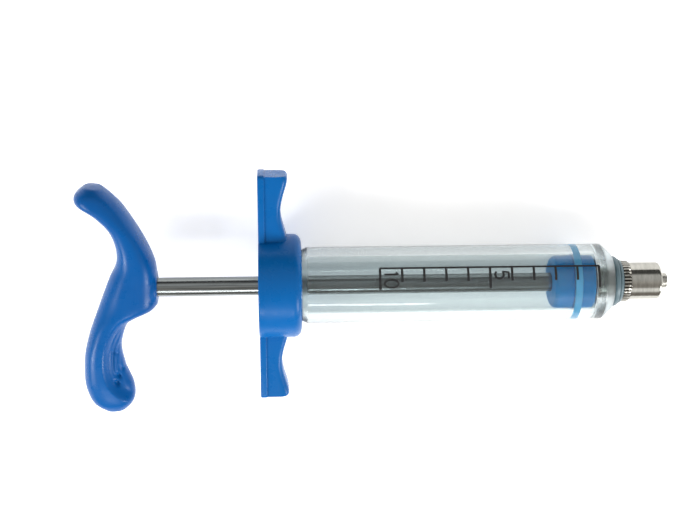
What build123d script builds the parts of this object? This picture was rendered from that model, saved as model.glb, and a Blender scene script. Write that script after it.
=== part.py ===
"""Reusable 10 ml hand syringe: clear barrel, screw cap with finger wings, piston rod with palm handle.

Millimetres. +X runs along the barrel axis towards the nozzle, the finger wings lie along Y and +Z is up.
The origin is the centre of the Luer cone's tip, so the whole syringe lies at negative X.
"""

import os

from build123d import *

os.makedirs("parts", exist_ok=True)

# Running and assembly gaps
RUN_GAP = 0.05
SIDE_GAP = 0.1

# Nozzle: Luer cone with a 6 % taper, lock collar, knurled flange and threaded stem
CONE_TIP_R = 1.975
CONE_TAPER = 0.03
CONE_LENGTH = 7.9
NOZZLE_BORE_R = 1.1
COLLAR_FRONT_X = -2.1
COLLAR_R = 4.95
COLLAR_BORE_R = 3.95
COLLAR_THREAD_R = 3.5
COLLAR_THREAD_WIDTH = 0.7
COLLAR_THREAD_PITCH = 2.5
COLLAR_THREAD_TURNS = 2
KNURL_FRONT_X = -10.4
KNURL_REAR_X = -12.5
KNURL_R = 5.4
KNURL_TEETH = 36
KNURL_GROOVE_R = 0.2
STEM_R = 2.95
STEM_REAR_X = -19.7

# Knurled metal insert that carries the port's thread
INSERT_SLEEVE_R = 3.95
INSERT_SLEEVE_FRONT_X = -15.8
INSERT_SLEEVE_REAR_X = -19.6
INSERT_SLEEVE_BORE_R = STEM_R + RUN_GAP

# Front washer
WASHER_R = 6.75
WASHER_ROUND = 1.1

# Barrel
BARREL_R = 10.0
BORE_R = 7.5
BARREL_FRONT_X = -15.3
SHOULDER_X = -18.0
SHOULDER_FACE_R = 7.5
CHAMBER_END_X = -20.0
PORT_R = INSERT_SLEEVE_R
PORT_MOUTH_R = 3.3
BARREL_REAR_X = -95.3
REAR_CHAMFER = 0.9
NECK_R = 9.1
NECK_END_X = -103.6

# Screw cap with finger wings
CAP_FRONT_X = -96.7
CAP_REAR_X = -107.8
BOSS_R = 13.5
BOSS_ROUND = 2.2
SOCKET_R = NECK_R + RUN_GAP
SOCKET_END_X = -104.8
GASKET_THICK = 1.1
GASKET_BORE_R = 7.3
PLATE_THICK = 1.8
PLATE_HALF_SPAN = 30.5
PLATE_HALF_DEPTH = 4.1
WING_HALF_SPAN = 30.1
WING_HALF_DEPTH = 3.8
WING_TIP_X = -100.2
WING_WAIST_X = -102.2
WING_WAIST_Y = 20.6
WING_ROOT_Y = 12.0
WING_ROUND = 2.2

# Rod, its guide bush and its threaded ends
ROD_R = 2.5
ROD_FRONT_X = -31.0
ROD_REAR_X = -139.0
ROD_END_R = 1.9
ROD_FRONT_THREAD = 8.6
ROD_REAR_THREAD = 4.6
BUSH_R = 4.0
BUSH_FLANGE_R = 6.4
BUSH_FLANGE_THICK = 1.2

# Piston: two lands clamp the seal ring
PISTON_FRONT_X = -20.4
LAND_R = 7.0
LAND_ROUND = 0.6
RING_FRONT_X = -24.0
RING_WIDTH = 2.0
RING_R = BORE_R - RUN_GAP
RING_BORE_R = 5.25
INSERT_R = 3.0
INSERT_LENGTH = 5.0

# Palm handle
HANDLE_FRONT_X = -134.1
HANDLE_HALF_DEPTH = 6.4
HANDLE_ROUND = 1.7
HANDLE_BOSS_R = 6.2
HANDLE_BOSS_LENGTH = 11.0
HANDLE_DISH_R = 3.6
HANDLE_DISH_DEPTH = 0.8
HANDLE_INSERT_R = 3.4
HANDLE_INSERT_LENGTH = 9.0
SCOOP_R = 17.0
SCOOP_OFFSET = (2.2, -19.5, 19.3)
# The handle's outline as (X from its front face, Y): hooked upper arm, thumb saddle, long back,
# lower lobe, finger hollow and the shoulder back to the rod boss.
HANDLE_OUTLINE = [
    (-13.3, 27.1),
    (-16.6, 27.8),
    (-19.2, 26.4),
    (-19.9, 23.8),
    (-17.4, 21.4),
    (-12.4, 17.3),
    (-10.2, 12.3),
    (-10.3, 8.0),
    (-12.3, 2.8),
    (-15.6, -5.0),
    (-18.8, -13.6),
    (-20.1, -22.6),
    (-19.0, -29.4),
    (-15.8, -33.4),
    (-11.6, -33.9),
    (-8.1, -31.9),
    (-7.2, -27.8),
    (-9.1, -22.0),
    (-10.1, -16.0),
    (-9.2, -11.2),
    (-5.8, -7.6),
    (-1.9, -4.6),
    (-1.2, 0.6),
    (-2.2, 8.0),
    (-4.9, 16.2),
    (-9.6, 23.4),
]


def rod_along_x(radius, x_low, x_high):
    """Solid cylinder on the X axis between two stations."""
    plane = Plane(origin=(x_low, 0, 0), x_dir=(0, 1, 0), z_dir=(1, 0, 0))
    return extrude(plane * Circle(radius), amount=x_high - x_low)


def turned(profile):
    """Solid of revolution about X from a closed outline of (x, radius) corners."""
    face = make_face(Polyline([(x, r, 0) for x, r in profile], close=True))
    return revolve(face, axis=Axis.X)


def rounded(solid, radius, x, ring_radius):
    """Round the circular edge of the given radius at station x."""
    edges = [
        edge
        for edge in solid.edges().filter_by(GeomType.CIRCLE)
        if abs(edge.center(CenterOf.BOUNDING_BOX).X - x) < 0.01 and abs(edge.radius - ring_radius) < 0.01
    ]
    return fillet(edges, radius)


def make_barrel():
    outer = turned(
        [
            (BARREL_FRONT_X, 0),
            (BARREL_FRONT_X, SHOULDER_FACE_R),
            (SHOULDER_X, BARREL_R),
            (BARREL_REAR_X, BARREL_R),
            (BARREL_REAR_X - REAR_CHAMFER, NECK_R),
            (NECK_END_X, NECK_R),
            (NECK_END_X, 0),
        ]
    )
    outer = rounded(outer, 1.2, SHOULDER_X, BARREL_R)
    outer = rounded(outer, 0.5, BARREL_FRONT_X, SHOULDER_FACE_R)
    chamber = rod_along_x(BORE_R, NECK_END_X, CHAMBER_END_X)
    mouth = rod_along_x(PORT_MOUTH_R, CHAMBER_END_X, BARREL_FRONT_X)
    pocket = rod_along_x(PORT_R, INSERT_SLEEVE_REAR_X, INSERT_SLEEVE_FRONT_X)
    return outer - chamber - mouth - pocket


def make_port_insert():
    sleeve = rod_along_x(INSERT_SLEEVE_R, INSERT_SLEEVE_REAR_X, INSERT_SLEEVE_FRONT_X)
    return sleeve - rod_along_x(INSERT_SLEEVE_BORE_R, INSERT_SLEEVE_REAR_X, INSERT_SLEEVE_FRONT_X)


def make_front_gasket():
    body = rod_along_x(WASHER_R, BARREL_FRONT_X, KNURL_REAR_X)
    body = rounded(body, WASHER_ROUND, KNURL_REAR_X, WASHER_R)
    body = rounded(body, 0.5, BARREL_FRONT_X, WASHER_R)
    return body - rod_along_x(PORT_MOUTH_R, BARREL_FRONT_X, KNURL_REAR_X)


def make_nozzle_body():
    cone_base_x = -CONE_LENGTH
    cone_base_r = CONE_TIP_R + CONE_TAPER * CONE_LENGTH
    body = turned(
        [
            (0, NOZZLE_BORE_R),
            (0, CONE_TIP_R),
            (cone_base_x, cone_base_r),
            (cone_base_x, COLLAR_BORE_R),
            (KNURL_FRONT_X, COLLAR_BORE_R),
            (KNURL_FRONT_X, KNURL_R - 0.3),
            (KNURL_FRONT_X - 0.3, KNURL_R),
            (KNURL_REAR_X + 0.3, KNURL_R),
            (KNURL_REAR_X, KNURL_R - 0.3),
            (KNURL_REAR_X, STEM_R),
            (STEM_REAR_X, STEM_R),
            (STEM_REAR_X, NOZZLE_BORE_R),
        ]
    )
    groove = rod_along_x(KNURL_GROOVE_R, KNURL_REAR_X, KNURL_FRONT_X)
    grooves = [
        Rot(360 / KNURL_TEETH * tooth, 0, 0) * Pos(0, KNURL_R, 0) * groove for tooth in range(KNURL_TEETH)
    ]
    return body - grooves


def make_lock_collar():
    shell = rod_along_x(COLLAR_R, KNURL_FRONT_X, COLLAR_FRONT_X)
    shell = rounded(shell, 0.6, COLLAR_FRONT_X, COLLAR_R)
    shell -= rod_along_x(COLLAR_BORE_R, KNURL_FRONT_X, COLLAR_FRONT_X)
    for turn in range(COLLAR_THREAD_TURNS):
        x = COLLAR_FRONT_X - 0.9 - COLLAR_THREAD_WIDTH - COLLAR_THREAD_PITCH * turn
        ridge = rod_along_x(COLLAR_BORE_R + 0.2, x, x + COLLAR_THREAD_WIDTH)
        shell += ridge - rod_along_x(COLLAR_THREAD_R, x, x + COLLAR_THREAD_WIDTH)
    return shell


def make_cap_gasket():
    outer = rod_along_x(NECK_R, SOCKET_END_X, SOCKET_END_X + GASKET_THICK)
    return outer - rod_along_x(GASKET_BORE_R, SOCKET_END_X, SOCKET_END_X + GASKET_THICK)


def make_wing(side):
    """One finger wing, hollowed towards the nozzle so that a finger sits in it."""
    back_x = CAP_REAR_X + PLATE_THICK
    root = (WING_TIP_X, side * WING_ROOT_Y, 0)
    waist = (WING_WAIST_X, side * WING_WAIST_Y, 0)
    tip = (WING_TIP_X, side * (WING_HALF_SPAN - 1.0), 0)
    corner = (WING_TIP_X - 1.0, side * WING_HALF_SPAN, 0)
    outline = [
        Line((back_x, 0, 0), (WING_TIP_X, 0, 0)),
        Line((WING_TIP_X, 0, 0), root),
        ThreePointArc(root, waist, tip),
        Line(tip, corner),
        Line(corner, (back_x, side * WING_HALF_SPAN, 0)),
        Line((back_x, side * WING_HALF_SPAN, 0), (back_x, 0, 0)),
    ]
    blank = extrude(make_face(outline), amount=WING_HALF_DEPTH, both=True)
    front_edges = [
        edge
        for edge in blank.edges().filter_by(GeomType.CIRCLE)
        if abs(abs(edge.center(CenterOf.BOUNDING_BOX).Z) - WING_HALF_DEPTH) < 0.01
    ]
    return fillet(front_edges, WING_ROUND)


def make_finger_grip_cap():
    boss = rod_along_x(BOSS_R, CAP_REAR_X, CAP_FRONT_X)
    boss = rounded(boss, BOSS_ROUND, CAP_FRONT_X, BOSS_R)
    boss = rounded(boss, 0.4, CAP_REAR_X, BOSS_R)
    plate = Pos(CAP_REAR_X + PLATE_THICK / 2, 0, 0) * Box(
        PLATE_THICK, 2 * PLATE_HALF_SPAN, 2 * PLATE_HALF_DEPTH
    )
    plate = fillet(plate.edges().filter_by(Axis.X), 1.0)
    plate = fillet(plate.faces().sort_by(Axis.X)[0].edges(), 0.4)
    cap = boss + plate + make_wing(1) + make_wing(-1)
    cap -= rod_along_x(SOCKET_R, SOCKET_END_X, CAP_FRONT_X)
    return cap - rod_along_x(BUSH_R, CAP_REAR_X, SOCKET_END_X)


def make_rod_guide_bush():
    shank = rod_along_x(BUSH_R, CAP_REAR_X, SOCKET_END_X)
    flange = rod_along_x(BUSH_FLANGE_R, SOCKET_END_X, SOCKET_END_X + BUSH_FLANGE_THICK)
    through = rod_along_x(ROD_R + RUN_GAP, CAP_REAR_X, SOCKET_END_X + BUSH_FLANGE_THICK)
    return shank + flange - through


def make_plunger_rod():
    shaft = rod_along_x(ROD_R, ROD_REAR_X, ROD_FRONT_X)
    front_thread = rod_along_x(ROD_END_R, ROD_FRONT_X, ROD_FRONT_X + ROD_FRONT_THREAD)
    rear_thread = rod_along_x(ROD_END_R, ROD_REAR_X - ROD_REAR_THREAD, ROD_REAR_X)
    return shaft + front_thread + rear_thread


def make_piston_rear_land():
    """Rear half of the piston with the spigot that carries the seal ring."""
    ring_rear_x = RING_FRONT_X - RING_WIDTH
    land = rod_along_x(LAND_R, ROD_FRONT_X, ring_rear_x - SIDE_GAP)
    land = rounded(land, LAND_ROUND, ROD_FRONT_X, LAND_R)
    spigot = rod_along_x(RING_BORE_R - RUN_GAP, ring_rear_x - SIDE_GAP, RING_FRONT_X + SIDE_GAP)
    return land + spigot - rod_along_x(ROD_END_R, ROD_FRONT_X, RING_FRONT_X + SIDE_GAP)


def make_piston_front_land():
    """Front half of the piston, with the pocket of its threaded insert behind its face."""
    rear_x = RING_FRONT_X + SIDE_GAP
    land = rod_along_x(LAND_R, rear_x, PISTON_FRONT_X)
    land = rounded(land, LAND_ROUND, PISTON_FRONT_X, LAND_R)
    return land - rod_along_x(INSERT_R, rear_x, PISTON_FRONT_X - 0.8)


def make_piston_insert():
    rear_x = RING_FRONT_X + SIDE_GAP
    front_x = PISTON_FRONT_X - 0.8
    return rod_along_x(INSERT_R, rear_x, front_x) - rod_along_x(ROD_END_R, rear_x, front_x)


def make_piston_seal_ring():
    rear_x = RING_FRONT_X - RING_WIDTH
    ring = rod_along_x(RING_R, rear_x, RING_FRONT_X)
    ring = rounded(ring, 0.25, rear_x, RING_R)
    ring = rounded(ring, 0.25, RING_FRONT_X, RING_R)
    return ring - rod_along_x(RING_BORE_R, rear_x, RING_FRONT_X)


def make_thumb_handle():
    outline = [(HANDLE_FRONT_X + x, y, 0) for x, y in HANDLE_OUTLINE]
    plate = extrude(make_face(Spline(outline, periodic=True)), amount=HANDLE_HALF_DEPTH, both=True)
    rims = [
        edge for edge in plate.edges() if abs(abs(edge.center().Z) - HANDLE_HALF_DEPTH) < 0.01
    ]
    plate = fillet(rims, HANDLE_ROUND)
    boss = rod_along_x(HANDLE_BOSS_R, HANDLE_FRONT_X - HANDLE_BOSS_LENGTH, HANDLE_FRONT_X)
    boss = rounded(boss, 1.2, HANDLE_FRONT_X, HANDLE_BOSS_R)
    scoop_x, scoop_y, scoop_z = SCOOP_OFFSET
    handle = plate + boss - Pos(HANDLE_FRONT_X + scoop_x, scoop_y, scoop_z) * Sphere(SCOOP_R)
    handle -= rod_along_x(HANDLE_DISH_R, HANDLE_FRONT_X - HANDLE_DISH_DEPTH, HANDLE_FRONT_X)
    pocket_front_x = HANDLE_FRONT_X - HANDLE_DISH_DEPTH
    return handle - rod_along_x(HANDLE_INSERT_R, pocket_front_x - HANDLE_INSERT_LENGTH, pocket_front_x)


def make_handle_insert():
    """Brass insert moulded into the handle: a clear throat for the rod, then its thread."""
    front_x = HANDLE_FRONT_X - HANDLE_DISH_DEPTH
    rear_x = front_x - HANDLE_INSERT_LENGTH
    insert = rod_along_x(HANDLE_INSERT_R, rear_x, front_x)
    insert -= rod_along_x(ROD_R, ROD_REAR_X, front_x)
    return insert - rod_along_x(ROD_END_R, rear_x, ROD_REAR_X)


NODES = {
    "barrel": make_barrel,
    "port_insert": make_port_insert,
    "front_gasket": make_front_gasket,
    "nozzle_body": make_nozzle_body,
    "lock_collar": make_lock_collar,
    "cap_gasket": make_cap_gasket,
    "finger_grip_cap": make_finger_grip_cap,
    "rod_guide_bush": make_rod_guide_bush,
    "plunger_rod": make_plunger_rod,
    "piston_rear_land": make_piston_rear_land,
    "piston_front_land": make_piston_front_land,
    "piston_insert": make_piston_insert,
    "piston_seal_ring": make_piston_seal_ring,
    "thumb_handle": make_thumb_handle,
    "handle_insert": make_handle_insert,
}

for node, make in NODES.items():
    export_step(make(), f"parts/{node}.step")
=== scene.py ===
"""Visual model of the reusable hand syringe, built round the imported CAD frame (metres, row frame)."""

import math

import bmesh
import bpy
from mathutils import Matrix, Vector


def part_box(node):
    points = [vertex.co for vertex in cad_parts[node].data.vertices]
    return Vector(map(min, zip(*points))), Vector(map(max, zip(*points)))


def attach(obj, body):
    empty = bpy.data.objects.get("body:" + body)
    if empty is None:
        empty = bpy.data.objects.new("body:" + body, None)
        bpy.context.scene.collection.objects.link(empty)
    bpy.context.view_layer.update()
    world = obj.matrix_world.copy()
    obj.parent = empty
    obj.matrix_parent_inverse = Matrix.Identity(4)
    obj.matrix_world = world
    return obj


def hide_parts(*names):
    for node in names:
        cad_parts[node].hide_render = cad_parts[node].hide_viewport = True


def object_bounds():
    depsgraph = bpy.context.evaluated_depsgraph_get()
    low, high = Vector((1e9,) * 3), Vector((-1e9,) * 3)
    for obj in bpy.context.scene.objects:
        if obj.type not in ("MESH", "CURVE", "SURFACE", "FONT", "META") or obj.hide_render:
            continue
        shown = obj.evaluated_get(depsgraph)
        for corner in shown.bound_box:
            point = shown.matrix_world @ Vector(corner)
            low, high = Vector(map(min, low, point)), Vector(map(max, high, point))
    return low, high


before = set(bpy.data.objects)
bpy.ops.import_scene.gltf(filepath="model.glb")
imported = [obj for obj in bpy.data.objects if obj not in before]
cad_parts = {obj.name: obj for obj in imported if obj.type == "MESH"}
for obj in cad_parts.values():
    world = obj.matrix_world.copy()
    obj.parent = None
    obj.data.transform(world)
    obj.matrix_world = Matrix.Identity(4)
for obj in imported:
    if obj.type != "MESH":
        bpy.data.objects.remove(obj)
CAD_LOW, CAD_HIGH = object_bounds()

MM = 0.001
TURN = 2 * math.pi


# ---------------------------------------------------------------- mesh helpers
def linked(name, data):
    """An object with this data, linked to the scene."""
    obj = bpy.data.objects.new(name, data)
    bpy.context.scene.collection.objects.link(obj)
    return obj


def finished(name, bm, material, sharp_deg):
    """A mesh piece from a bmesh, which is used up: smooth apart from edges sharper than sharp_deg."""
    mesh = bpy.data.meshes.new(name)
    bm.to_mesh(mesh)
    bm.free()
    mesh.shade_smooth()
    mesh.set_sharp_from_angle(angle=math.radians(sharp_deg))
    mesh.materials.append(material)
    return linked(name, mesh)


def mesh_object(name, verts, faces, material, sharp_deg=35):
    """A mesh piece from its points and faces, with all normals outwards."""
    raw = bpy.data.meshes.new(name)
    raw.from_pydata(verts, [], faces)
    bm = bmesh.new()
    bm.from_mesh(raw)
    bpy.data.meshes.remove(raw)
    bmesh.ops.recalc_face_normals(bm, faces=bm.faces)
    return finished(name, bm, material, sharp_deg)


def rounded_outline(corners, steps=6):
    """Outline points from (x, radius, rounding) corners; each rounding is drawn as a short arc."""
    count = len(corners)
    points = []
    for i, (x, r, rounding) in enumerate(corners):
        here = Vector((x, r))
        before = Vector(corners[i - 1][:2]) - here
        after = Vector(corners[(i + 1) % count][:2]) - here
        if rounding <= 0 or before.length == 0 or after.length == 0:
            points.append((x, r))
            continue
        half = before.angle(after) / 2
        reach = rounding / math.tan(half)
        start = here + before.normalized() * reach
        end = here + after.normalized() * reach
        centre = here + (before.normalized() + after.normalized()).normalized() * rounding / math.sin(half)
        a0 = math.atan2(start.y - centre.y, start.x - centre.x)
        a1 = math.atan2(end.y - centre.y, end.x - centre.x)
        sweep = (a1 - a0 + math.pi) % TURN - math.pi
        for k in range(steps + 1):
            a = a0 + sweep * k / steps
            points.append((centre.x + rounding * math.cos(a), centre.y + rounding * math.sin(a)))
    return points


def turned(name, outline, material, segments=128, ripple=None, sharp_deg=35):
    """Closed body of revolution about X from an outline in millimetres that goes once round the section."""
    rows = []
    verts = []
    for x, r in outline:
        if r < 1e-6:
            rows.append([len(verts)] * segments)
            verts.append((x * MM, 0, 0))
            continue
        row = []
        for k in range(segments):
            a = TURN * k / segments
            rr = ripple(x, r, a) if ripple else r
            row.append(len(verts))
            verts.append((x * MM, rr * math.sin(a) * MM, rr * math.cos(a) * MM))
        rows.append(row)
    faces = []
    for i, row in enumerate(rows):
        other = rows[(i + 1) % len(rows)]
        if row[0] == row[1] and other[0] == other[1]:
            continue
        for k in range(segments):
            n = (k + 1) % segments
            face = [row[k], row[n], other[n], other[k]]
            faces.append([v for j, v in enumerate(face) if v not in face[:j]])
    return mesh_object(name, verts, faces, material, sharp_deg)


def densified(outline, x_low, x_high, step):
    """The same outline with extra points on its straight runs between two stations."""
    points = []
    for i, (x, r) in enumerate(outline):
        points.append((x, r))
        nx, nr = outline[(i + 1) % len(outline)]
        if abs(nx - x) > step and min(x, nx) >= x_low - 1e-6 and max(x, nx) <= x_high + 1e-6:
            parts = int(abs(nx - x) / step)
            points += [(x + (nx - x) * k / parts, r + (nr - r) * k / parts) for k in range(1, parts)]
    return points


def joined(name, parts):
    """Several mesh pieces made one object, each keeping its own closed shell."""
    bm = bmesh.new()
    for part in parts:
        bm.from_mesh(part.data)
    mesh = bpy.data.meshes.new(name)
    bm.to_mesh(mesh)
    bm.free()
    mesh.materials.append(parts[0].data.materials[0])
    for part in parts:
        bpy.data.objects.remove(part)
    return linked(name, mesh)


def placed(obj, body, slot, *nodes):
    """Hangs a finished piece on its CAD body and hides the nodes that it stands for; the slot argument is
    not used.
    """
    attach(obj, body)
    if nodes:
        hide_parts(*nodes)


def span(node):
    """(lowest X, highest X, outer radius) of a CAD node, in millimetres."""
    low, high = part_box(node)
    return low.x / MM, high.x / MM, high.z / MM


NECK_END, BARREL_FRONT, BARREL_R = span("barrel")
NECK_LENGTH = 8.3
FRONT_TAPER = 2.7
SHOULDER = BARREL_FRONT - FRONT_TAPER
BARREL_REAR = NECK_END + NECK_LENGTH
# Stations between which the clear plastic turns hazy at either end of the barrel, and how rough it gets
HAZY_ENDS = [(SHOULDER - 2.2, SHOULDER + 0.2, 0.28), (BARREL_REAR + 0.7, BARREL_REAR - 0.3, 0.25)]


# ------------------------------------------------------------------- materials
def shader(name, **sockets):
    """A material with its Principled sockets set by name."""
    mat = bpy.data.materials.new(name)
    mat.use_nodes = True
    bsdf = mat.node_tree.nodes["Principled BSDF"]
    for key, value in sockets.items():
        bsdf.inputs[key.replace("_", " ")].default_value = value
    return mat, mat.node_tree, bsdf


def noise(tree, scale, detail=4.0, stretch=(1, 1, 1), roughness=0.55):
    """Noise over the piece's own coordinates, in metres, stretched along an axis where asked."""
    coords = tree.nodes.new("ShaderNodeTexCoord")
    mapping = tree.nodes.new("ShaderNodeMapping")
    mapping.inputs["Scale"].default_value = stretch
    tex = tree.nodes.new("ShaderNodeTexNoise")
    tex.inputs["Scale"].default_value = scale
    tex.inputs["Detail"].default_value = detail
    tex.inputs["Roughness"].default_value = roughness
    tree.links.new(coords.outputs["Object"], mapping.inputs["Vector"])
    tree.links.new(mapping.outputs["Vector"], tex.inputs["Vector"])
    return tex.outputs["Fac"]


def ramp(tree, fac, low, high, start=0.35, end=0.65):
    """Colour or grey from low to high as the factor goes from start to end."""
    node = tree.nodes.new("ShaderNodeValToRGB")
    node.color_ramp.elements[0].position = start
    node.color_ramp.elements[1].position = end
    node.color_ramp.elements[0].color = low if len(low) == 4 else (*low, 1)
    node.color_ramp.elements[1].color = high if len(high) == 4 else (*high, 1)
    tree.links.new(fac, node.inputs["Fac"])
    return node.outputs["Color"]


def bump(tree, bsdf, height, distance, strength=1.0, below=None):
    """Bump from a height, on top of another bump where one is given."""
    node = tree.nodes.new("ShaderNodeBump")
    node.inputs["Strength"].default_value = strength
    node.inputs["Distance"].default_value = distance
    tree.links.new(height, node.inputs["Height"])
    if below:
        tree.links.new(below, node.inputs["Normal"])
    tree.links.new(node.outputs["Normal"], bsdf.inputs["Normal"])
    return node.outputs["Normal"]


def grey(value):
    """A colour of one level."""
    return (value, value, value)


def moulded(name, low, high, roughness=0.3, grain=0.000003):
    """Moulded plastic: faint flow mottling, uneven gloss, fine grain and soft waviness."""
    mat, tree, bsdf = shader(name, IOR=1.5)
    bsdf.inputs["Specular IOR Level"].default_value = 0.18
    tree.links.new(ramp(tree, noise(tree, 60, 3), low, high, 0.3, 0.7), bsdf.inputs["Base Color"])
    gloss = ramp(tree, noise(tree, 260, 4), grey(roughness - 0.05), grey(roughness + 0.08))
    tree.links.new(gloss, bsdf.inputs["Roughness"])
    wavy = bump(tree, bsdf, noise(tree, 90, 0), 0.00003)
    bump(tree, bsdf, noise(tree, 1800, 1), grain, 0.5, wavy)
    return mat


def drawn_metal(name, low, high, roughness, stretch, scale=900, scratches=0.00001):
    """Metal with its machining marks along one direction."""
    mat, tree, bsdf = shader(name, Metallic=1.0)
    tree.links.new(ramp(tree, noise(tree, scale, 5, stretch), low, high), bsdf.inputs["Base Color"])
    rough = ramp(tree, noise(tree, scale * 1.7, 4, stretch), grey(roughness * 0.75), grey(roughness * 1.3))
    tree.links.new(rough, bsdf.inputs["Roughness"])
    bump(tree, bsdf, noise(tree, scale * 2.3, 4, stretch), scratches, 0.5)
    return mat


def nickel(name, roughness=0.13):
    """Bright nickel with fine turning marks round the axis."""
    low, high = (0.38, 0.375, 0.34), (0.47, 0.46, 0.42)
    return drawn_metal(name, low, high, roughness, (1, 0.2, 0.2), 1500, 0.000003)


def knurled_nickel(rim):
    """Nickel with painted shade, near black, in the grooves of a knurl that has its crests at the rim
    radius, in mm.
    """
    mat = nickel("nickel_knurled", 0.32)
    tree = mat.node_tree
    bsdf = tree.nodes["Principled BSDF"]
    plain = bsdf.inputs["Base Color"].links[0].from_socket
    coords = tree.nodes.new("ShaderNodeTexCoord")
    flat = tree.nodes.new("ShaderNodeVectorMath")
    flat.operation = "MULTIPLY"
    flat.inputs[1].default_value = (0, 1, 1)
    tree.links.new(coords.outputs["Object"], flat.inputs[0])
    radius = tree.nodes.new("ShaderNodeVectorMath")
    radius.operation = "LENGTH"
    tree.links.new(flat.outputs["Vector"], radius.inputs[0])
    depth = tree.nodes.new("ShaderNodeMapRange")
    depth.inputs["From Min"].default_value = (rim - 1.0) * MM
    depth.inputs["From Max"].default_value = rim * MM
    tree.links.new(radius.outputs["Value"], depth.inputs["Value"])
    grooves = tree.nodes.new("ShaderNodeValToRGB")
    stops = grooves.color_ramp.elements
    stops.new(0.4)
    stops.new(0.7)
    for stop, (position, level) in zip(stops, ((0.35, 1), (0.4, 0), (0.7, 0), (0.88, 1))):
        stop.position = position
        stop.color = (level, level, level, 1)
    tree.links.new(depth.outputs["Result"], grooves.inputs["Fac"])
    # Painted shade: the grooves are coloured near black to stand in for the shade that falls in them.
    painted_groove_shade = tree.nodes.new("ShaderNodeMix")
    painted_groove_shade.data_type = "RGBA"
    painted_groove_shade.inputs["A"].default_value = (0.05, 0.035, 0.025, 1)
    tree.links.new(grooves.outputs["Color"], painted_groove_shade.inputs["Factor"])
    tree.links.new(plain, painted_groove_shade.inputs["B"])
    tree.links.new(painted_groove_shade.outputs["Result"], bsdf.inputs["Base Color"])
    return mat


def clear_plastic():
    """Clear barrel plastic: faint moulding waves, a greyer thick front wall and a haze at both ends."""
    mat, tree, bsdf = shader("clear_plastic", IOR=1.46)
    bsdf.inputs["Transmission Weight"].default_value = 0.98
    rough = ramp(tree, noise(tree, 120, 4, (0.3, 1, 1)), grey(0.03), grey(0.07))
    coords = tree.nodes.new("ShaderNodeTexCoord")
    split = tree.nodes.new("ShaderNodeSeparateXYZ")
    tree.links.new(coords.outputs["Object"], split.inputs["Vector"])
    thick = tree.nodes.new("ShaderNodeMapRange")
    thick.inputs["From Min"].default_value = (SHOULDER - 2.4) * MM
    thick.inputs["From Max"].default_value = (SHOULDER - 1.8) * MM
    tree.links.new(split.outputs["X"], thick.inputs["Value"])
    wall_tint, front_tint = (0.64, 0.70, 0.71), (0.56, 0.625, 0.635)
    body = ramp(tree, thick.outputs["Result"], wall_tint, front_tint)
    tree.links.new(body, bsdf.inputs["Base Color"])
    haze = rough
    for start, end, most in HAZY_ENDS:
        frost = tree.nodes.new("ShaderNodeMapRange")
        frost.inputs["From Min"].default_value = start * MM
        frost.inputs["From Max"].default_value = end * MM
        frost.inputs["To Max"].default_value = most
        tree.links.new(split.outputs["X"], frost.inputs["Value"])
        total = tree.nodes.new("ShaderNodeMath")
        total.operation = "ADD"
        tree.links.new(haze, total.inputs[0])
        tree.links.new(frost.outputs["Result"], total.inputs[1])
        haze = total.outputs["Value"]
    tree.links.new(haze, bsdf.inputs["Roughness"])
    bump(tree, bsdf, noise(tree, 60, 1, (0.25, 1, 1)), 0.000005, 0.3)
    return mat


def silicone(name, colour, clearness, roughness=0.3):
    """Moulded silicone, clear or dyed, with a soft uneven gloss."""
    mat, tree, bsdf = shader(name, IOR=1.41)
    bsdf.inputs["Transmission Weight"].default_value = clearness
    tint = ramp(tree, noise(tree, 300, 3), tuple(c * 0.9 for c in colour), colour)
    tree.links.new(tint, bsdf.inputs["Base Color"])
    rough = ramp(tree, noise(tree, 700, 3), grey(roughness), grey(roughness + 0.12))
    tree.links.new(rough, bsdf.inputs["Roughness"])
    bump(tree, bsdf, noise(tree, 500, 1), 0.00001, 0.4)
    return mat


BLUE = moulded("blue_plastic", (0.0, 0.105, 0.35), (0.0, 0.118, 0.39), 0.28)
BLUE_HANDLE = moulded("blue_handle_plastic", (0.0, 0.082, 0.30), (0.0, 0.098, 0.345), 0.3)
BLUE_PISTON = moulded("blue_piston_plastic", (0.0, 0.38, 1.0), (0.0, 0.42, 1.0), 0.4)
BLUE_SEAL = silicone("blue_silicone", (0.14, 0.59, 1.0), 0.0, 0.35)
CLEAR = clear_plastic()
WASHER = silicone("clear_silicone", (0.17, 0.26, 0.30), 0.3, 0.3)
NICKEL = nickel("nickel_brass")
STEEL = drawn_metal("steel", (0.17, 0.185, 0.185), (0.30, 0.32, 0.32), 0.2, (0.02, 1, 1), 2600, 0.000003)
BRASS = drawn_metal("brass_insert", (0.60, 0.44, 0.18), (0.72, 0.55, 0.26), 0.3, (1, 0.2, 0.2))
BUSHING = moulded("white_plastic", (0.70, 0.70, 0.67), (0.80, 0.80, 0.77), 0.45)
INK, _, _ = shader("scale_ink", Roughness=0.55)
INK.node_tree.nodes["Principled BSDF"].inputs["Base Color"].default_value = (0.008, 0.008, 0.009, 1)


# ---------------------------------------------------------------------- barrel
RUN_GAP = 0.05
FRONT_WALL = 4.7
BORE_R = span("piston_seal_ring")[2] + RUN_GAP
CHAMBER_END = BARREL_FRONT - FRONT_WALL
NECK_R = span("cap_gasket")[2]
NECK_THREAD_DEPTH = 0.45
NECK_ROOT_R = NECK_R - NECK_THREAD_DEPTH
NECK_PITCH = 2.0
REAR_BEVEL = 1.3
PORT_MOUTH_R = 3.35
INSERT_REAR, INSERT_FRONT, INSERT_R = span("port_insert")


def neck_thread(x, r, angle):
    """The neck's moulded thread: a rounded ridge that winds round it once per pitch."""
    if abs(r - NECK_ROOT_R) > 0.01 or not NECK_END + 0.8 < x < BARREL_REAR - REAR_BEVEL - 0.3:
        return r
    phase = (x / NECK_PITCH - angle / TURN) % 1.0
    return r + NECK_THREAD_DEPTH * max(0.0, math.sin(TURN * phase)) ** 0.7


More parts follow.
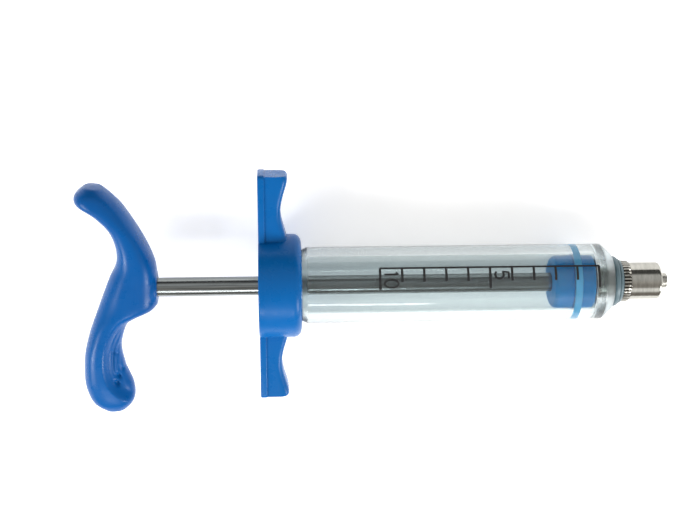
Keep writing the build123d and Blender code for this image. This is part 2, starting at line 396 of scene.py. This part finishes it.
barrel_outline = rounded_outline(
    [
        (BARREL_FRONT, PORT_MOUTH_R, 0.2),
        (BARREL_FRONT, 7.5, 0.7),
        (SHOULDER, BARREL_R, 1.6),
        (BARREL_REAR, BARREL_R, 0.5),
        (BARREL_REAR - REAR_BEVEL, BARREL_R - 0.7, 0.1),
        (BARREL_REAR - REAR_BEVEL, NECK_ROOT_R, 0),
        (NECK_END, NECK_ROOT_R, 0.2),
        (NECK_END, BORE_R, 0.4),
        (CHAMBER_END, BORE_R, 0.5),
        (CHAMBER_END, PORT_MOUTH_R, 0.2),
        (INSERT_REAR, PORT_MOUTH_R, 0),
        (INSERT_REAR, INSERT_R, 0),
        (INSERT_FRONT, INSERT_R, 0),
        (INSERT_FRONT, PORT_MOUTH_R, 0),
    ],
    8,
)
barrel = turned(
    "barrel_clear",
    densified(barrel_outline, NECK_END, BARREL_REAR - REAR_BEVEL, 0.16),
    CLEAR,
    192,
    neck_thread,
)
placed(barrel, "barrel", "clear_plastic", "barrel")

# Volume scale printed on the barrel
SCALE_ZERO = CHAMBER_END - 0.2
SCALE_STEP = 5.66
LINE_ANGLE = math.radians(43)
MINOR_END = math.radians(22)
MAJOR_END = math.radians(11)
INK_LIFT = 0.012
INK_THICK = 0.02
LINE_WIDTH = 0.5
TICK_WIDTH = 0.62
DIGIT_HEIGHT = 3.8


def print_stroke(points, width):
    """One printed stroke on the barrel: (x, arc length) points in millimetres, swept at a width."""
    fine = [Vector(points[0])]
    for p in points[1:]:
        start = fine[-1]
        run = Vector(p) - start
        parts = max(1, math.ceil(run.length / 0.35))
        fine += [start + run * k / parts for k in range(1, parts + 1)]
    verts = []
    for i, p in enumerate(fine):
        back = fine[max(i - 1, 0)]
        ahead = fine[min(i + 1, len(fine) - 1)]
        across = Vector((-(ahead - back).y, (ahead - back).x)).normalized() * width / 2
        for side in (-1, 1):
            u, v = p + across * side
            for radius in (BARREL_R + INK_LIFT, BARREL_R + INK_LIFT + INK_THICK):
                a = v / BARREL_R
                verts.append((u * MM, radius * math.sin(a) * MM, radius * math.cos(a) * MM))
    faces = [(0, 2, 3, 1), tuple(len(verts) - 4 + k for k in (0, 1, 3, 2))]
    for i in range(len(fine) - 1):
        a, b = 4 * i, 4 * i + 4
        for c, d in ((0, 1), (1, 3), (3, 2), (2, 0)):
            faces.append((a + c, a + d, b + d, b + c))
    return mesh_object("stroke", verts, faces, INK, 60)


def arc_points(cx, cy, rx, ry, start_deg, end_deg, parts=20):
    """Points of an elliptical arc in a digit's own frame."""
    angles = [math.radians(start_deg + (end_deg - start_deg) * k / parts) for k in range(parts + 1)]
    return [(cx + rx * math.cos(a), cy + ry * math.sin(a)) for a in angles]


# Digits in a frame 1 high and about 0.65 wide: (across, up)
DIGIT_STROKES = {
    "0": [arc_points(0.33, 0.5, 0.27, 0.46, 90, 450, 32)],
    "1": [[(0.10, 0.80), (0.26, 0.96), (0.26, 0.03)]],
    "5": [[(0.56, 0.96), (0.16, 0.96), (0.11, 0.54)] + arc_points(0.31, 0.33, 0.27, 0.29, 128, -140)],
}


DIGIT_ADVANCE = {"0": 0.8, "1": 0.56, "5": 0.8}


def print_digits(text, x_foot, angle_deg):
    """Digits whose tops point to the nozzle and that read round the barrel."""
    strokes = []
    arc = math.radians(angle_deg) * BARREL_R
    for char in text:
        for stroke in DIGIT_STROKES[char]:
            points = [(x_foot + up * DIGIT_HEIGHT, arc - across * DIGIT_HEIGHT) for across, up in stroke]
            strokes.append(print_stroke(points, LINE_WIDTH))
        arc -= DIGIT_HEIGHT * DIGIT_ADVANCE[char]
    return strokes


LINE_ARC = LINE_ANGLE * BARREL_R
SCALE_TEN = SCALE_ZERO - 10 * SCALE_STEP
SCALE_FIVE = SCALE_ZERO - 5 * SCALE_STEP
marks = [print_stroke([(SCALE_ZERO + 0.2, LINE_ARC), (SCALE_TEN, LINE_ARC)], LINE_WIDTH)]
for tick in range(11):
    x = SCALE_ZERO - tick * SCALE_STEP
    end = MAJOR_END if tick % 5 == 0 else MINOR_END
    marks.append(print_stroke([(x, LINE_ARC), (x, end * BARREL_R)], TICK_WIDTH))
marks += print_digits("10", SCALE_TEN + 1.0, 39)
marks += print_digits("5", SCALE_FIVE + 1.1, 38)
scale_print = joined("scale_print", marks)
placed(scale_print, "barrel", "clear_plastic")


# ---------------------------------------------------------------------- nozzle
KNURL_TEETH = 36
KNURL_SEGMENTS = KNURL_TEETH * 10


def knurl(depth, x_low, x_high, radius):
    """Straight knurl: sharp grooves round the rim between two stations."""

    def ripple(x, r, angle):
        if not x_low - 0.01 <= x <= x_high + 0.01 or r < radius - 0.02:
            return r
        wave = 0.5 - 0.5 * math.cos(angle * KNURL_TEETH)
        return r - depth * (1 - min(1.0, wave * 1.8)) ** 1.2

    return ripple


insert_outline = rounded_outline(
    [
        (INSERT_REAR, 3.0, 0.1),
        (INSERT_FRONT, 3.0, 0.1),
        (INSERT_FRONT, INSERT_R - 0.25, 0),
        (INSERT_FRONT - 0.25, INSERT_R, 0),
        (INSERT_FRONT - 0.8, INSERT_R, 0),
        (INSERT_FRONT - 0.95, INSERT_R - 0.3, 0),
        (INSERT_REAR + 0.95, INSERT_R - 0.3, 0),
        (INSERT_REAR + 0.8, INSERT_R, 0),
        (INSERT_REAR + 0.25, INSERT_R, 0),
        (INSERT_REAR, INSERT_R - 0.25, 0),
    ],
    3,
)
insert = turned(
    "port_insert_knurled",
    insert_outline,
    NICKEL,
    KNURL_SEGMENTS,
    knurl(0.28, INSERT_REAR, INSERT_FRONT, INSERT_R),
    50,
)
placed(insert, "barrel", "nickel_brass", "port_insert")

WASHER_REAR, WASHER_FRONT, WASHER_R = span("front_gasket")
washer = turned(
    "front_washer",
    rounded_outline(
        [
            (WASHER_REAR, PORT_MOUTH_R, 0.2),
            (WASHER_FRONT, PORT_MOUTH_R, 0.2),
            (WASHER_FRONT, WASHER_R - 1.2, 0.3),
            (WASHER_FRONT - 0.75, WASHER_R - 0.75, 0.2),
            (WASHER_FRONT - 1.0, WASHER_R - 0.95, 0.1),
            (WASHER_FRONT - 1.3, WASHER_R - 0.2, 0.5),
            (WASHER_REAR + 0.6, WASHER_R, 0.5),
            (WASHER_REAR, WASHER_R - 0.4, 0.2),
        ],
        8,
    ),
    WASHER,
    128,
)
placed(washer, "front_seal", "clear_silicone", "front_gasket")

STEM_REAR, TIP, _ = span("nozzle_body")
COLLAR_REAR, COLLAR_FRONT, COLLAR_R = span("lock_collar")
FLANGE_R = 5.4
FLANGE_FRONT = COLLAR_REAR
FLANGE_REAR = WASHER_FRONT
STEM_R = 2.95
STEM_PITCH = 1.0
FLUID_BORE_R = 1.1
CONE_LENGTH = 7.9
COLLAR_BORE_R = 3.95
nozzle_outline = rounded_outline(
    [
        (TIP, FLUID_BORE_R, 0.1),
        (TIP, 1.975, 0.18),
        (TIP - CONE_LENGTH, 2.21, 0.25),
        (TIP - CONE_LENGTH, COLLAR_BORE_R, 0),
        (FLANGE_FRONT, COLLAR_BORE_R, 0),
        (FLANGE_FRONT, FLANGE_R - 0.3, 0),
        (FLANGE_FRONT - 0.3, FLANGE_R, 0),
        (FLANGE_REAR + 0.3, FLANGE_R, 0),
        (FLANGE_REAR, FLANGE_R - 0.3, 0),
        (FLANGE_REAR, STEM_R, 0.2),
        (STEM_REAR, STEM_R, 0.3),
        (STEM_REAR, FLUID_BORE_R, 0.15),
    ],
    5,
)


flange_knurl = knurl(0.42, FLANGE_REAR, FLANGE_FRONT, FLANGE_R - 0.3)


def nozzle_ripple(x, r, angle):
    """The stem's thread and the flange's knurl."""
    if abs(r - STEM_R) < 0.02 and STEM_REAR + 0.4 < x < FLANGE_REAR - 0.8:
        return r - 0.3 * abs(2 * ((x / STEM_PITCH - angle / TURN) % 1.0) - 1)
    return flange_knurl(x, r, angle)


nozzle = turned(
    "nozzle_turned",
    densified(nozzle_outline, STEM_REAR, FLANGE_REAR, 0.1),
    knurled_nickel(FLANGE_R),
    KNURL_SEGMENTS,
    nozzle_ripple,
    45,
)
placed(nozzle, "nozzle", "nickel_brass", "nozzle_body")

LOCK_PITCH = 5.0


def lock_thread(x, r, angle):
    """Two-start lock thread inside the collar."""
    if abs(r - COLLAR_BORE_R) > 0.01 or not COLLAR_FRONT - 6.6 < x < COLLAR_FRONT - 0.4:
        return r
    phase = (2 * (x / LOCK_PITCH - angle / TURN)) % 1.0
    return r - 0.45 * min(1.0, max(0.0, 3.2 * (abs(2 * phase - 1) - 0.62)))


collar_outline = rounded_outline(
    [
        (COLLAR_REAR, COLLAR_BORE_R, 0),
        (COLLAR_REAR, COLLAR_R, 0.15),
        (COLLAR_FRONT, COLLAR_R, 0.75),
        (COLLAR_FRONT, COLLAR_BORE_R + 0.3, 0.15),
        (COLLAR_FRONT - 0.3, COLLAR_BORE_R, 0),
    ],
    6,
)
collar = turned(
    "lock_collar_threaded",
    densified(collar_outline, COLLAR_REAR, COLLAR_FRONT - 0.2, 0.12),
    NICKEL,
    160,
    lock_thread,
    45,
)
placed(collar, "nozzle", "nickel_brass", "lock_collar")

# ------------------------------------------------------------------ screw cap
CAP_REAR, CAP_FRONT, BOSS_R = span("finger_grip_cap")
CAP_HALF_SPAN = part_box("finger_grip_cap")[1].y / MM
GASKET_REAR, GASKET_FRONT, GASKET_R = span("cap_gasket")
GASKET_BORE_R = 7.3
SOCKET_R = NECK_R + RUN_GAP
BUSH_REAR, BUSH_FRONT, BUSH_FLANGE_R = span("rod_guide_bush")
BUSH_R = 4.0
PLATE_FRONT = CAP_REAR + 1.8
PLATE_HALF_DEPTH = 4.1
PLATE_ROOT_Y = 7.0
WING_FRONT = CAP_REAR + 7.6
WING_ROOT_Y = 11.0
WING_END_Y = CAP_HALF_SPAN - 0.35
WING_HALF_DEPTH = 3.7
HOLLOW_START_Y, HOLLOW_MIDDLE_Y, HOLLOW_END_Y = 12.4, 20.6, 29.2
HOLLOW_REACH = 8.6
HOLLOW_SINK = 1.8


def wing_solid(side):
    """One finger wing: rounded bar with a hollow front between its tip and the boss."""
    outline = [(PLATE_FRONT - 0.2, WING_ROOT_Y), (WING_FRONT, WING_ROOT_Y), (WING_FRONT, HOLLOW_START_Y)]
    for k in range(1, 24):
        y = HOLLOW_START_Y + (HOLLOW_END_Y - HOLLOW_START_Y) * k / 24
        depth = math.cos((y - HOLLOW_MIDDLE_Y) / HOLLOW_REACH * math.pi / 2)
        outline.append((WING_FRONT - HOLLOW_SINK * max(0.0, depth) ** 1.4, y))
    outline += [(WING_FRONT, HOLLOW_END_Y + 0.4), (WING_FRONT - 0.4, WING_END_Y)]
    outline.append((PLATE_FRONT - 0.2, WING_END_Y))
    bm = bmesh.new()
    bottom = [bm.verts.new((x * MM, side * y * MM, -WING_HALF_DEPTH * MM)) for x, y in outline]
    top = [bm.verts.new((x * MM, side * y * MM, WING_HALF_DEPTH * MM)) for x, y in outline]
    bm.faces.new(bottom)
    bm.faces.new(list(reversed(top)))
    count = len(outline)
    for k in range(count):
        n = (k + 1) % count
        bm.faces.new((bottom[k], top[k], top[n], bottom[n]))
    bmesh.ops.recalc_face_normals(bm, faces=bm.faces)
    front = []
    for edge in bm.edges:
        a, b = edge.verts
        if abs(a.co.z - b.co.z) < 1e-7 and min(a.co.x, b.co.x) > (PLATE_FRONT + 0.5) * MM:
            front.append(edge)
    bmesh.ops.bevel(bm, geom=front, offset=1.5 * MM, segments=6, profile=0.5, affect="EDGES")
    return finished("wing", bm, BLUE, 40)


def half_plate(side):
    """One half of the flat back plate, from inside the boss's floor to a wing's tip, with softened edges.

    Its back lies a hair inside the boss's, so that the two never share a plane.
    """
    bm = bmesh.new()
    bmesh.ops.create_cube(bm, size=1)
    for v in bm.verts:
        v.co.x = (PLATE_FRONT if v.co.x > 0 else CAP_REAR + 0.03) * MM
        v.co.y = side * (CAP_HALF_SPAN if v.co.y > 0 else PLATE_ROOT_Y) * MM
        v.co.z *= 2 * PLATE_HALF_DEPTH * MM
    bmesh.ops.recalc_face_normals(bm, faces=bm.faces)
    along_x = [e for e in bm.edges if abs(e.verts[0].co.x - e.verts[1].co.x) > 1e-6]
    bmesh.ops.bevel(bm, geom=along_x, offset=1.0 * MM, segments=5, profile=0.5, affect="EDGES")
    rims = []
    for edge in bm.edges:
        a, b = edge.verts
        if abs(a.co.x - b.co.x) < 1e-9 and len(edge.link_faces) == 2 and edge.calc_face_angle() > 0.5:
            rims.append(edge)
    bmesh.ops.bevel(bm, geom=rims, offset=0.3 * MM, segments=4, profile=0.5, affect="EDGES")
    return finished("plate", bm, BLUE, 40)


boss = turned(
    "boss",
    rounded_outline(
        [
            (CAP_REAR, BUSH_R, 0),
            (CAP_REAR, BOSS_R, 0.4),
            (CAP_FRONT - 0.45, BOSS_R, 2.1),
            (CAP_FRONT, 11.0, 1.0),
            (CAP_FRONT, SOCKET_R, 0.35),
            (GASKET_REAR, SOCKET_R, 0),
            (GASKET_REAR, BUSH_R, 0),
        ],
        8,
    ),
    BLUE,
    160,
)
cap = joined("screw_cap", [boss, half_plate(1), half_plate(-1), wing_solid(1), wing_solid(-1)])
placed(cap, "cap", "blue_plastic", "finger_grip_cap")

cap_seal = turned(
    "cap_seal_ring",
    rounded_outline(
        [
            (GASKET_REAR, GASKET_BORE_R, 0.15),
            (GASKET_REAR, GASKET_R, 0.15),
            (GASKET_FRONT, GASKET_R, 0.3),
            (GASKET_FRONT, GASKET_BORE_R, 0.3),
        ],
        4,
    ),
    WASHER,
    96,
)
placed(cap_seal, "cap_seal", "clear_silicone", "cap_gasket")

ROD_R = 2.5
bush = turned(
    "guide_bush",
    rounded_outline(
        [
            (BUSH_REAR, ROD_R + RUN_GAP, 0.3),
            (BUSH_FRONT, ROD_R + RUN_GAP, 0.3),
            (BUSH_FRONT, BUSH_FLANGE_R, 0.3),
            (GASKET_REAR, BUSH_FLANGE_R, 0),
            (GASKET_REAR, BUSH_R, 0),
            (BUSH_REAR, BUSH_R, 0.1),
        ],
        4,
    ),
    BUSHING,
    96,
)
placed(bush, "cap", "white_plastic", "rod_guide_bush")

# ------------------------------------------------------------------- plunger
ROD_END, ROD_TIP, _ = span("plunger_rod")
ROD_SHOULDER_FRONT = span("piston_rear_land")[0]
REAR_THREAD_LENGTH = 4.6
ROD_SHOULDER_REAR = ROD_END + REAR_THREAD_LENGTH
THREAD_R = 1.9
THREAD_DEPTH = 0.25
THREAD_PITCH = 0.7


def rod_thread(x, r, angle):
    """The thread on both ends of the rod."""
    if abs(r - THREAD_R) > 0.01:
        return r
    return r - THREAD_DEPTH * abs(2 * ((x / THREAD_PITCH - angle / TURN) % 1.0) - 1)


rod = turned(
    "piston_rod",
    densified(
        rounded_outline(
            [
                (ROD_END, 0, 0),
                (ROD_END, THREAD_R, 0),
                (ROD_SHOULDER_REAR, THREAD_R, 0),
                (ROD_SHOULDER_REAR, ROD_R, 0.2),
                (ROD_SHOULDER_FRONT, ROD_R, 0.2),
                (ROD_SHOULDER_FRONT, THREAD_R, 0),
                (ROD_TIP, THREAD_R, 0),
                (ROD_TIP, 0, 0),
            ],
            4,
        ),
        ROD_END,
        ROD_TIP,
        0.35,
    ),
    STEEL,
    96,
    rod_thread,
)
placed(rod, "plunger", "steel", "plunger_rod")

LAND_REAR, RING_SIDE, LAND_R = span("piston_rear_land")
RING_REAR, RING_FRONT, _ = span("piston_seal_ring")
RING_BORE_R = 5.25
RING_CONTACT = 0.03
FRONT_LAND_REAR, PISTON_FRONT, _ = span("piston_front_land")
INSERT_NUT_REAR, INSERT_NUT_FRONT, INSERT_NUT_R = span("piston_insert")
NUT_POCKET_R = 3.0
rear_land = turned(
    "piston_rear_half",
    rounded_outline(
        [
            (LAND_REAR, THREAD_R, 0),
            (LAND_REAR, LAND_R, 1.1),
            (RING_REAR - 0.1, LAND_R, 0.2),
            (RING_REAR - 0.1, RING_BORE_R - RUN_GAP, 0),
            (RING_SIDE, RING_BORE_R - RUN_GAP, 0),
            (RING_SIDE, THREAD_R, 0),
        ],
        7,
    ),
    BLUE_PISTON,
    128,
)
placed(rear_land, "plunger", "blue_plastic", "piston_rear_land")

front_land = turned(
    "piston_front_half",
    rounded_outline(
        [
            (FRONT_LAND_REAR, NUT_POCKET_R, 0),
            (FRONT_LAND_REAR, LAND_R, 0.2),
            (PISTON_FRONT, LAND_R, 0.7),
            (PISTON_FRONT, 0, 0),
            (PISTON_FRONT - 0.8, 0, 0),
            (PISTON_FRONT - 0.8, NUT_POCKET_R, 0),
        ],
        7,
    ),
    BLUE_PISTON,
    128,
)
placed(front_land, "plunger", "blue_plastic", "piston_front_land")

piston_nut = turned(
    "piston_thread_insert",
    rounded_outline(
        [
            (INSERT_NUT_REAR, THREAD_R, 0.1),
            (INSERT_NUT_FRONT, THREAD_R, 0.1),
            (INSERT_NUT_FRONT, INSERT_NUT_R, 0.15),
            (INSERT_NUT_REAR, INSERT_NUT_R, 0.15),
        ],
        3,
    ),
    BRASS,
    72,
)
placed(piston_nut, "plunger", "brass_insert", "piston_insert")

seal = turned(
    "seal_ring",
    rounded_outline(
        [
            (RING_REAR, RING_BORE_R, 0.1),
            (RING_FRONT, RING_BORE_R, 0.1),
            (RING_FRONT, BORE_R + RING_CONTACT, 0.2),
            (RING_REAR, BORE_R + RING_CONTACT, 0.2),
        ],
        5,
    ),
    BLUE_SEAL,
    192,
)
placed(seal, "piston_seal", "blue_silicone", "piston_seal_ring")

# -------------------------------------------------------------------- handle
HANDLE_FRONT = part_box("thumb_handle")[1].x / MM
HANDLE_VOXEL = 0.22
NUT_REAR, NUT_FRONT, NUT_R = span("handle_insert")
# Cross-sections along the handle's spine, from the upper tip to the lower lobe:
# (left X, left Y, right X, right Y, half depth), X counted from the front face.
HANDLE_SECTIONS = [
    (-17.4, 27.5, -12.9, 26.9, 3.6),
    (-19.8, 25.4, -10.7, 24.9, 5.4),
    (-19.6, 22.9, -7.9, 21.8, 6.1),
    (-15.6, 20.3, -5.6, 18.0, 6.3),
    (-11.9, 16.4, -3.5, 14.2, 6.35),
    (-10.2, 11.8, -1.6, 10.2, 6.4),
    (-10.2, 7.4, -0.2, 6.0, 6.4),
    (-12.2, 3.1, 0.0, 1.2, 6.4),
    (-14.2, -1.8, -0.2, -3.6, 6.4),
    (-15.0, -3.8, -0.9, -5.2, 6.4),
    (-15.7, -5.6, -2.4, -6.1, 6.4),
    (-16.4, -7.4, -4.7, -7.0, 6.4),
    (-17.2, -9.4, -7.6, -8.8, 6.4),
    (-18.2, -12.2, -9.1, -11.7, 6.4),
    (-19.5, -17.2, -10.1, -16.2, 6.4),
    (-20.0, -22.4, -9.2, -21.6, 6.4),
    (-19.8, -27.0, -7.3, -26.8, 6.3),
    (-18.2, -31.3, -7.3, -30.9, 5.6),
    (-15.0, -33.8, -9.4, -33.5, 3.8),
]


def catmull(points, t):
    """Smooth value through a list of tuples at t from 0 to 1."""
    last = len(points) - 1
    s = min(max(t, 0.0), 1.0) * last
    i = min(int(s), last - 1)
    f = s - i
    p = [points[min(max(i + k, 0), last)] for k in (-1, 0, 1, 2)]
    out = []
    for a, b, c, d in zip(*p):
        square = (2 * a - 5 * b + 4 * c - d) * f * f
        cube = (3 * b - a - 3 * c + d) * f**3
        out.append(0.5 * (2 * b + (c - a) * f + square + cube))
    return out


def handle_shell():
    """Lofted handle body: soft superellipse sections across the spine, closed by domed ends."""
    around, along = 96, 220
    power = 0.8
    verts, faces = [], []
    for i in range(along + 1):
        t = i / along
        lx, ly, rx, ry, depth = catmull(HANDLE_SECTIONS, t)
        mid = Vector(((lx + rx) / 2, (ly + ry) / 2))
        half = Vector(((rx - lx) / 2, (ry - ly) / 2))
        for k in range(around):
            a = TURN * k / around
            c, s = math.cos(a), math.sin(a)
            u = math.copysign(abs(c) ** power, c)
            w = math.copysign(abs(s) ** power, s)
            p = mid + half * u
            verts.append(((HANDLE_FRONT + p.x) * MM, p.y * MM, depth * w * MM))
    for i in range(along):
        for k in range(around):
            n = (k + 1) % around
            a, b = i * around, (i + 1) * around
            faces.append((a + k, a + n, b + n, b + k))
    for row, side in ((0, 1), (along, -1)):
        lx, ly, rx, ry, depth = catmull(HANDLE_SECTIONS, row / along)
        ring = [row * around + k for k in range(around)]
        centre = Vector(((lx + rx) / 2, (ly + ry) / 2))
        normal = Vector((-(ry - ly), rx - lx)).normalized() * side * 0.3
        verts.append(((HANDLE_FRONT + centre.x + normal.x) * MM, (centre.y + normal.y) * MM, 0))
        for k in range(around):
            faces.append((ring[k], ring[(k + 1) % around], len(verts) - 1))
    return mesh_object("handle_shell", verts, faces, BLUE_HANDLE, 180)


def smoothstep(value, low, high):
    """0 below low and 1 above high, with a soft rise between them."""
    t = min(max((value - low) / (high - low), 0.0), 1.0)
    return t * t * (3 - 2 * t)


handle_boss = turned(
    "handle_boss",
    rounded_outline(
        [
            (HANDLE_FRONT, 0, 0),
            (HANDLE_FRONT, 4.7, 0.8),
            (HANDLE_FRONT - 5.0, 5.6, 0.8),
            (HANDLE_FRONT - 9.0, 4.6, 0.8),
            (HANDLE_FRONT - 9.0, 0, 0),
        ],
        6,
    ),
    BLUE_HANDLE,
    96,
)
handle_raw = joined("handle_raw", [handle_shell(), handle_boss])
remesh = handle_raw.modifiers.new("fuse", "REMESH")
remesh.mode = "VOXEL"
remesh.voxel_size = HANDLE_VOXEL * MM
smooth = handle_raw.modifiers.new("soften", "SMOOTH")
smooth.factor = 0.5
smooth.iterations = 24
bpy.context.view_layer.update()
graph = bpy.context.evaluated_depsgraph_get()
handle_mesh = bpy.data.meshes.new_from_object(handle_raw.evaluated_get(graph))
bpy.data.objects.remove(handle_raw)

# The finger hollow: it falls away to the nozzle side of this crease, from the rod boss to the lower lobe.
CREASE = [
    (-1.0, -1.2),
    (-7.9, -5.3),
    (-12.2, -10.6),
    (-14.5, -17.3),
    (-13.9, -24.6),
    (-9.6, -29.8),
    (-4.5, -30.8),
]
CREASE_STEPS = 80
CREASE_POINTS = [Vector(catmull(CREASE, k / CREASE_STEPS)) for k in range(CREASE_STEPS + 1)]
HOLLOW_DEPTH = 0.36
RIDGE_PITCH = 1.0
RIDGE_HEIGHT = 0.022
# Small oval dimples in the hollow: (X, Y, depth), each long across the ridges
DIMPLES = [
    (-11.6, -16.9, 0.08),
    (-9.8, -21.6, 0.15),
    (-10.9, -23.3, 0.15),
    (-11.4, -25.2, 0.14),
]
DIMPLE_HALF_WIDTH = 0.42
DIMPLE_HALF_LENGTH = 0.85
DIMPLE_AXIS = (0.75, 0.66)


def crease_distance(x, y):
    """Distance to the nozzle side of the crease (negative on the palm side) and place along it, 0 to 1."""
    here = Vector((x, y))
    best = min(range(1, CREASE_STEPS), key=lambda k: (CREASE_POINTS[k] - here).length_squared)
    along = CREASE_POINTS[best + 1] - CREASE_POINTS[best - 1]
    away = here - CREASE_POINTS[best]
    side = along.x * away.y - along.y * away.x
    return math.copysign(away.length, side), best / CREASE_STEPS


def depth_factor(x, y):
    """How much of the handle's depth is left at a place in the finger hollow."""
    distance, place = crease_distance(x, y)
    if distance < -0.5:
        return 1.0
    run = smoothstep(place, 0.14, 0.45) * (1 - smoothstep(place, 0.93, 1.0))
    fall = smoothstep(distance, -0.2, 2.4) * run
    ridges = math.cos(TURN * distance / RIDGE_PITCH) * RIDGE_HEIGHT
    ridges *= smoothstep(place, 0.25, 0.4) * (1 - smoothstep(place, 0.58, 0.76))
    ridges *= smoothstep(distance, 0.6, 1.4)
    factor = 1 - HOLLOW_DEPTH * fall + ridges
    c, s = DIMPLE_AXIS
    for px, py, deep in DIMPLES:
        u = ((x - px) * c + (y - py) * s) / DIMPLE_HALF_WIDTH
        v = ((y - py) * c - (x - px) * s) / DIMPLE_HALF_LENGTH
        factor -= deep * math.exp(-u * u - v * v)
    return factor


for vert in handle_mesh.vertices:
    x = vert.co.x / MM - HANDLE_FRONT
    y = vert.co.y / MM
    vert.co.x = min(vert.co.x, HANDLE_FRONT * MM)
    if y <= 1.0 and x <= 0.5:
        vert.co.z *= depth_factor(x, y)
handle_mesh.shade_smooth()
placed(linked("palm_handle", handle_mesh), "plunger", "blue_plastic", "thumb_handle")

nut = turned(
    "handle_thread_insert",
    rounded_outline(
        [
            (NUT_REAR, THREAD_R, 0),
            (ROD_SHOULDER_REAR, THREAD_R, 0),
            (ROD_SHOULDER_REAR, ROD_R, 0),
            (NUT_FRONT, ROD_R, 0.1),
            (NUT_FRONT, NUT_R, 0.15),
            (NUT_REAR, NUT_R, 0.15),
        ],
        3,
    ),
    BRASS,
    72,
)
placed(nut, "plunger", "brass_insert", "handle_insert")


# ------------------------------------------------------- floor, light, camera
FLOOR_Z = CAD_LOW.z - 0.0001
floor_mat, floor_tree, floor_bsdf = shader("floor_paper", Roughness=0.7)
floor_tint = ramp(floor_tree, noise(floor_tree, 40, 3), grey(0.86), grey(0.9))
floor_tree.links.new(floor_tint, floor_bsdf.inputs["Base Color"])
floor_bsdf.inputs["Emission Color"].default_value = (1, 1, 1, 1)
floor_bsdf.inputs["Emission Strength"].default_value = 0.52
FLOOR_HALF = 1.5
floor = mesh_object(
    "studio_floor",
    [(sx * FLOOR_HALF, sy * FLOOR_HALF, FLOOR_Z) for sx, sy in ((-1, -1), (1, -1), (1, 1), (-1, 1))],
    [(0, 1, 2, 3)],
    floor_mat,
)

# Sky by its angle from straight up, in degrees towards +Y: bright soft bands with dark gaps between them
SKY = [
    (-90, 0.34),
    (-70, 0.24),
    (-60, 0.42),
    (-50, 1.35),
    (-33, 1.35),
    (-24, 0.40),
    (-8, 0.38),
    (8, 0.55),
    (26, 0.66),
    (52, 0.74),
    (64, 0.10),
    (90, 0.10),
]


def angled_sky():
    """World light in bands round the syringe's axis; the camera itself sees a plain pale backdrop."""
    world = bpy.data.worlds.new("studio")
    world.use_nodes = True
    tree = world.node_tree
    background = tree.nodes["Background"]
    coords = tree.nodes.new("ShaderNodeTexCoord")
    split = tree.nodes.new("ShaderNodeSeparateXYZ")
    tree.links.new(coords.outputs["Generated"], split.inputs["Vector"])
    angle = tree.nodes.new("ShaderNodeMath")
    angle.operation = "ARCTAN2"
    tree.links.new(split.outputs["Y"], angle.inputs[0])
    tree.links.new(split.outputs["Z"], angle.inputs[1])
    scaled = tree.nodes.new("ShaderNodeMapRange")
    scaled.inputs["From Min"].default_value = -math.pi / 2
    scaled.inputs["From Max"].default_value = math.pi / 2
    tree.links.new(angle.outputs["Value"], scaled.inputs["Value"])
    bands = tree.nodes.new("ShaderNodeValToRGB")
    elements = bands.color_ramp.elements
    for position in range(len(SKY) - 2):
        elements.new((position + 1) / len(SKY))
    for element, (degrees, level) in zip(elements, SKY):
        element.position = (degrees + 90) / 180
        warmth = 0.05 if 0.2 < level < 0.6 else 0.0
        element.color = (level + warmth, level + warmth / 2, level, 1)
    tree.links.new(scaled.outputs["Result"], bands.inputs["Fac"])
    plain = tree.nodes.new("ShaderNodeMix")
    plain.data_type = "RGBA"
    plain.inputs["B"].default_value = (0.9, 0.92, 0.94, 1)
    tree.links.new(bands.outputs["Color"], plain.inputs["A"])
    rays = tree.nodes.new("ShaderNodeLightPath")
    tree.links.new(rays.outputs["Is Camera Ray"], plain.inputs["Factor"])
    tree.links.new(plain.outputs["Result"], background.inputs["Color"])
    return world


bpy.context.scene.world = angled_sky()
bpy.context.scene.view_settings.view_transform = "Standard"


MIDDLE = Vector(((CAD_LOW.x + CAD_HIGH.x) / 2, 0, 0))


def softbox(name, offset, size, watts):
    """A soft rectangular light at an offset from the syringe's middle, which it faces."""
    light = bpy.data.lights.new(name, "AREA")
    light.shape = "RECTANGLE"
    light.size, light.size_y = size
    light.energy = watts
    obj = linked(name, light)
    obj.location = MIDDLE + Vector(offset)
    obj.rotation_mode = "QUATERNION"
    obj.rotation_quaternion = (MIDDLE - obj.location).to_track_quat("-Z", "Y")


softbox("key", (-0.1, -0.47, 0.52), (0.4, 0.08), 1.1)
softbox("nozzle_side", (0.55, -0.34, 0.34), (0.18, 0.3), 3.0)
softbox("handle_side", (-0.58, -0.22, 0.38), (0.16, 0.3), 2.6)

# Camera: above the syringe, rolled with it about its axis by the lie of the wings
VIEW_ROLL = math.radians(18.4)
VIEW_TILT = math.radians(3.1)
VIEW_TWIST = math.radians(0.71)
VIEW_DISTANCE = 0.3315
AIM_X = -0.0840
AIM_UP = 0.00577

back = Vector(
    (
        -math.sin(VIEW_TILT),
        math.sin(VIEW_ROLL) * math.cos(VIEW_TILT),
        math.cos(VIEW_ROLL) * math.cos(VIEW_TILT),
    )
)
right = (Vector((1, 0, 0)) - back * back.x).normalized()
up = back.cross(right)
right, up = (
    right * math.cos(VIEW_TWIST) - up * math.sin(VIEW_TWIST),
    up * math.cos(VIEW_TWIST) + right * math.sin(VIEW_TWIST),
)
camera_data = bpy.data.cameras.new("camera")
camera_data.lens = 65
camera_data.clip_start = 0.01
camera = linked("camera", camera_data)
eye = Vector((AIM_X, 0, 0)) + up * AIM_UP + back * VIEW_DISTANCE
camera.matrix_world = Matrix.Translation(eye) @ Matrix((right, up, back)).transposed().to_4x4()
bpy.context.scene.camera = camera
